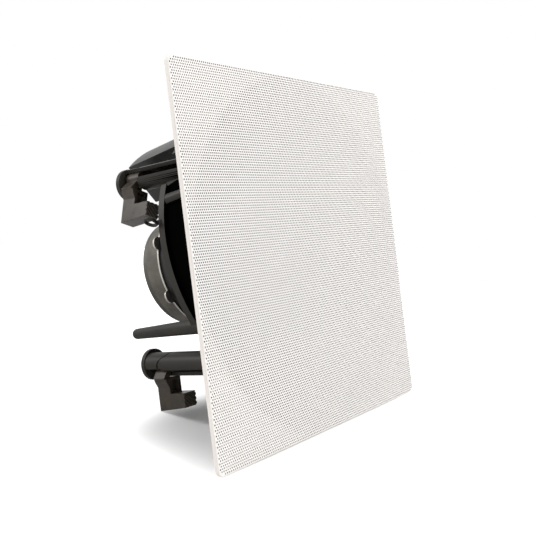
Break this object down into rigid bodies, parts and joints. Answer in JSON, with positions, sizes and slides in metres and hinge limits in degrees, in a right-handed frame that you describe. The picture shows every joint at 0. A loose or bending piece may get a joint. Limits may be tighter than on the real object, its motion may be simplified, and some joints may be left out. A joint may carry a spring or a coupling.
{
  "type": "ceiling speaker",
  "caption": "In-ceiling two-way loudspeaker with a square perforated magnetic grille, a round frame with swing-out clamps, and a leaning woofer behind a swivelling tweeter.",
  "frame": {"origin": "centre of the grille's room face, on the surface that it rests on grille down", "axes": "+Z away from the room, up into the ceiling; +X and +Y along the grille's edges, +Y towards the edge that is lowest in the picture"},
  "size_m": [0.24, 0.24, 0.1286],
  "materials": {
    "white_painted_sheet": "satin powder coat on perforated steel",
    "black_moulding": "fine-textured black moulding",
    "basket_moulding": "glass-filled black moulding",
    "box_moulding": "satin dark grey moulding",
    "dog_moulding": "satin dark grey moulding",
    "magnet_disc": "nickel plating",
    "ferrite": "fired ferrite, ground",
    "zinc_plate": "black-passivated zinc plating",
    "zinc_screws": "zinc plating",
    "foam_gasket": "closed-cell foam",
    "copper_winding": "enamelled wire",
    "cone_paper": "coated pulp",
    "surround_rubber": "satin rubber",
    "spider_cloth": "resin-dipped cloth",
    "dome_silk": "coated silk",
    "light_plastic": "satin",
    "circuit_board": "solder mask",
    "capacitor_sleeve": "shrink film",
    "red_plastic": "gloss"
  },
  "bodies": {
    "frame": {"round_frame": "black_moulding", "grille_magnets": "magnet_disc", "driver_gasket": "foam_gasket", "woofer_basket": "basket_moulding", "basket_screws": "zinc_screws", "woofer_front_plate": "zinc_plate", "woofer_magnet": "ferrite", "pole_yoke": "zinc_plate", "tweeter_bridge": "black_moulding", "bridge_screws": "zinc_screws", "switch_bodies": "black_moulding", "crossover_housing": "box_moulding", "crossover_cover": "box_moulding", "crossover_board": "circuit_board", "crossover_coils": "copper_winding", "crossover_capacitors": "capacitor_sleeve", "crossover_screws": "zinc_screws", "terminal_block": "black_moulding", "surround": "surround_rubber", "spider": "spider_cloth"},
    "grille": {"grille": "white_painted_sheet"},
    "cone_assembly": {"cone": "cone_paper", "dust_cap": "cone_paper", "voice_coil": "copper_winding"},
    "swivel_ring": {"swivel_ring": "black_moulding"},
    "tweeter": {"tweeter_housing": "black_moulding", "tweeter_faceplate": "black_moulding", "tweeter_magnet": "magnet_disc"},
    "tweeter_dome": {"tweeter_dome": "dome_silk"},
    "tweeter_level_slider": {"tweeter_level_slider": "light_plastic"},
    "woofer_level_slider": {"woofer_level_slider": "light_plastic"},
    "red_terminal_button": {"red_terminal_button": "red_plastic"},
    "black_terminal_button": {"black_terminal_button": "black_moulding"},
    "clamp_screw_upper_left": {"clamp_screw_upper_left": "zinc_screws"},
    "clamp_dog_upper_left": {"clamp_dog_upper_left": "dog_moulding"},
    "clamp_screw_upper_right": {"clamp_screw_upper_right": "zinc_screws"},
    "clamp_dog_upper_right": {"clamp_dog_upper_right": "dog_moulding"},
    "clamp_screw_lower_left": {"clamp_screw_lower_left": "zinc_screws"},
    "clamp_dog_lower_left": {"clamp_dog_lower_left": "dog_moulding"},
    "clamp_screw_lower_right": {"clamp_screw_lower_right": "zinc_screws"},
    "clamp_dog_lower_right": {"clamp_dog_lower_right": "dog_moulding"}
  },
  "joints": [
    {"name": "grille_pull", "type": "slide", "parent": "frame", "child": "grille", "axis": [0, 0, -1], "range_m": [0, 0.06]},
    {"name": "cone_travel", "type": "slide", "parent": "frame", "child": "cone_assembly", "axis": [0, 0.1392, 0.9903], "range_m": [-0.004, 0.004], "stiffness_N_per_m": 1200, "deforming": ["surround", "spider"]},
    {"name": "tweeter_tilt", "type": "hinge", "parent": "frame", "child": "swivel_ring", "pos_m": [0, 0, 0.017], "axis": [1, 0, 0], "range_deg": [-15, 15]},
    {"name": "tweeter_turn", "type": "hinge", "parent": "swivel_ring", "child": "tweeter", "pos_m": [0, 0, 0.017], "axis": [0, 1, 0], "range_deg": [-15, 15]},
    {"name": "dome_travel", "type": "slide", "parent": "tweeter", "child": "tweeter_dome", "axis": [0, 0, 1], "range_m": [-0.0003, 0.0003], "stiffness_N_per_m": 400},
    {"name": "tweeter_level", "type": "slide", "parent": "frame", "child": "tweeter_level_slider", "axis": [1, 0, 0], "range_m": [-0.0025, 0.0025]},
    {"name": "woofer_level", "type": "slide", "parent": "frame", "child": "woofer_level_slider", "axis": [1, 0, 0], "range_m": [-0.0025, 0.0025]},
    {"name": "red_button_press", "type": "slide", "parent": "frame", "child": "red_terminal_button", "axis": [0, -0.1392, -0.9903], "range_m": [0, 0.0025], "stiffness_N_per_m": 400},
    {"name": "black_button_press", "type": "slide", "parent": "frame", "child": "black_terminal_button", "axis": [0, -0.1392, -0.9903], "range_m": [0, 0.0025], "stiffness_N_per_m": 400},
    {"name": "clamp_screw_upper_left_spin", "type": "hinge", "parent": "frame", "child": "clamp_screw_upper_left", "pos_m": [-0.07018, -0.06253, 0.05], "axis": [0, 0, 1], "continuous": true},
    {"name": "clamp_dog_upper_left_swing", "type": "hinge", "parent": "frame", "child": "clamp_dog_upper_left", "pos_m": [-0.07018, -0.06253, 0.05], "axis": [0, 0, 1], "range_deg": [-15, 66]},
    {"name": "clamp_screw_upper_right_spin", "type": "hinge", "parent": "frame", "child": "clamp_screw_upper_right", "pos_m": [0.07018, -0.06253, 0.05], "axis": [0, 0, 1], "continuous": true},
    {"name": "clamp_dog_upper_right_swing", "type": "hinge", "parent": "frame", "child": "clamp_dog_upper_right", "pos_m": [0.07018, -0.06253, 0.05], "axis": [0, 0, 1], "range_deg": [-15, 66]},
    {"name": "clamp_screw_lower_left_spin", "type": "hinge", "parent": "frame", "child": "clamp_screw_lower_left", "pos_m": [-0.07018, 0.06253, 0.05], "axis": [0, 0, 1], "range_deg": [-1084, 8104]},
    {"name": "clamp_dog_lower_left_travel", "type": "slide", "parent": "frame", "child": "clamp_dog_lower_left", "axis": [0, 0, -1], "range_m": [-0.006, 0.045]},
    {"name": "clamp_screw_lower_right_spin", "type": "hinge", "parent": "frame", "child": "clamp_screw_lower_right", "pos_m": [0.07018, 0.06253, 0.05], "axis": [0, 0, 1], "continuous": true},
    {"name": "clamp_dog_lower_right_swing", "type": "hinge", "parent": "frame", "child": "clamp_dog_lower_right", "pos_m": [0.07018, 0.06253, 0.05], "axis": [0, 0, 1], "range_deg": [-15, 66]}
  ],
  "couplings": [
    {"joint": "clamp_screw_lower_left_spin", "follows": "clamp_dog_lower_left_travel", "rad_per_m": 3141.6}
  ]
}
